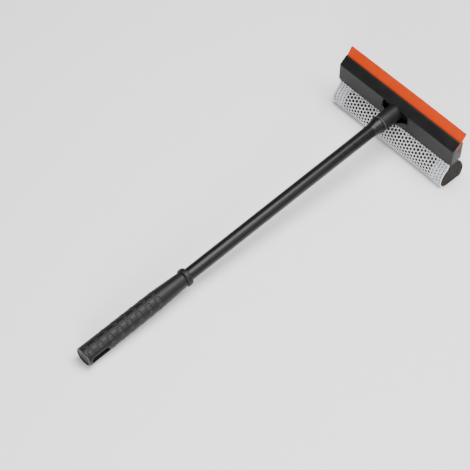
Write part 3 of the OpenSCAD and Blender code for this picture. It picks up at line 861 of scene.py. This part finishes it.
bend = np.linspace(0, math.pi / 2, 8)
grip_y = np.concatenate([
    grip_back + end_round * (1 - np.cos(bend)),
    np.arange(grip_back + end_round + 0.4 * mm, stop_back - nose_round - 0.2 * mm, grip_step),
    stop_back - nose_round * (1 - np.cos(bend[::-1]))])
around_grip = 192
grip_angle = np.linspace(0, 2 * math.pi, around_grip, endpoint=False)
far, spin = np.meshgrid(grip_y, grip_angle, indexing="ij")
radius = grip_radius(far)
relief, wear_and_highlight = pad_relief(spin, far)
radius = radius + relief * smooth((far - grip_back - 2.6 * mm) / mm)
grip_z = radius * np.cos(spin)

# The hanging hole is long with round ends. Points of the skin that lie near its edge are drawn
# onto it, along the line to the hole's spine, and the skin sinks there.
hook_r = slot_r + lining_t
spine = np.clip(far, hook_mid - slot_half_len, hook_mid + slot_half_len)
off_y = far - spine
from_slot = np.hypot(off_y, grip_z) - hook_r
near = np.abs(from_slot) < draw_near
pull = np.where(near, from_slot / np.maximum(from_slot + hook_r, mm), 0)
drawn_y = far - pull * off_y
drawn_z = grip_z - pull * grip_z
lip_ease = np.clip(1 - np.maximum(from_slot, 0) / lip_wide, 0, 1)
radius = radius - lip_sunk * lip_ease ** 2
# The lip of the hole and the rim of the open end are painted pale as painted highlights; the pads
# keep a third of their paleness.
wear_and_highlight = np.maximum(0.3 * wear_and_highlight, np.maximum(lip_ease > 0.4, far < grip_back + 1.2 * mm))
grip_x = np.sign(np.sin(spin)) * np.sqrt(np.maximum(radius ** 2 - drawn_z ** 2, 0))

# Three rings turn the skin in at the open end, where the plug sits.
end_rings = np.array([(grip_back + 3 * mm, seat_r), (grip_back + 0.4 * mm, seat_r),
                      (grip_back + 0.1 * mm, seat_r + 0.08 * mm)])
grip_rings = np.concatenate([revolved(end_rings, around_grip), laid(grip_x, drawn_y, drawn_z)])
in_hole = np.concatenate([np.zeros((len(end_rings), around_grip), bool),
                          (from_slot < 0) & ~near]).ravel()
grip = make_piece("grip_moulding", [skin(grip_rings)], grip_plastic, "handle",
                  ["grip_sleeve"], sharp=50)
# The paleness rides on the mesh as a point value: partly wear, partly painted highlight.
wear_and_glint_paling = grip.data.attributes.new("wear_and_highlight", "FLOAT", "POINT")
wear_and_glint_paling.data.foreach_set("value", np.concatenate([np.zeros(len(end_rings) * around_grip),
                                               wear_and_highlight.ravel()]))

# The points inside the hole are taken out, and a wall joins the two rims right through.
shape = bmesh.new()
shape.from_mesh(grip.data)
shape.verts.ensure_lookup_table()
bmesh.ops.delete(shape, geom=[shape.verts[i] for i in np.flatnonzero(in_hole).tolist()],
                 context="VERTS")
open_edges = [edge for edge in shape.edges if len(edge.link_faces) == 1]
bmesh.ops.bridge_loops(shape, edges=open_edges)
shape.to_mesh(grip.data)
shape.free()


# --- End plug ------------------------------------------------------------------------------
# The plug snapped into the grip's end, moulded of the grip's plastic: a disc a little below the
# rim, and the lining of the hanging hole.
plug_r, plug_deep, dish_r = seat_r - 0.1 * mm, 4 * mm, 3 * mm
plug_disc = rounded([(grip_back + plug_deep, cap_r), (grip_back + plug_deep, plug_r),
                     (grip_back + 0.7 * mm, plug_r), (grip_back + 0.9 * mm, dish_r),
                     (grip_back + 0.9 * mm, 0.5 * mm)],
                    np.array([0, 0.2, 0.5, 0.8, 0]) * mm, closed=False)

# The lining is one sleeve right through the grip, with an edge turned out at both ends. It is
# carried round the hole's outline, and its ends follow the grip's round.
lap = np.linspace(0, 2 * math.pi, 72, endpoint=False) + 0.01
lining = np.array([(0, 0.6), (0, 0.3), (0.1, 0.1), (0.3, 0.0), (1.1, 0.1), (1.1, 0.6)]) * mm
lining_off = np.concatenate([lining[:, 0], lining[::-1, 0]])
lining_in = np.concatenate([lining[:, 1], lining[::-1, 1]])
lining_side = np.repeat((1.0, -1.0), len(lining))
lining_z = (slot_r + lining_off) * np.sin(lap)[:, None]
lining_y = hook_mid + slot_half_len * np.sign(np.cos(lap))[:, None] + (
    slot_r + lining_off) * np.cos(lap)[:, None]
flush = grip_radius(lining_y) - 0.4 * mm
lining_x = lining_side * (np.sqrt(flush ** 2 - lining_z ** 2) - lining_in)
make_piece("grip_end_plug", [skin(revolved(plug_disc)), skin(laid(lining_x, lining_y, lining_z),
                                                             "joined")],
           grip_plastic, "handle", ["end_plug"])
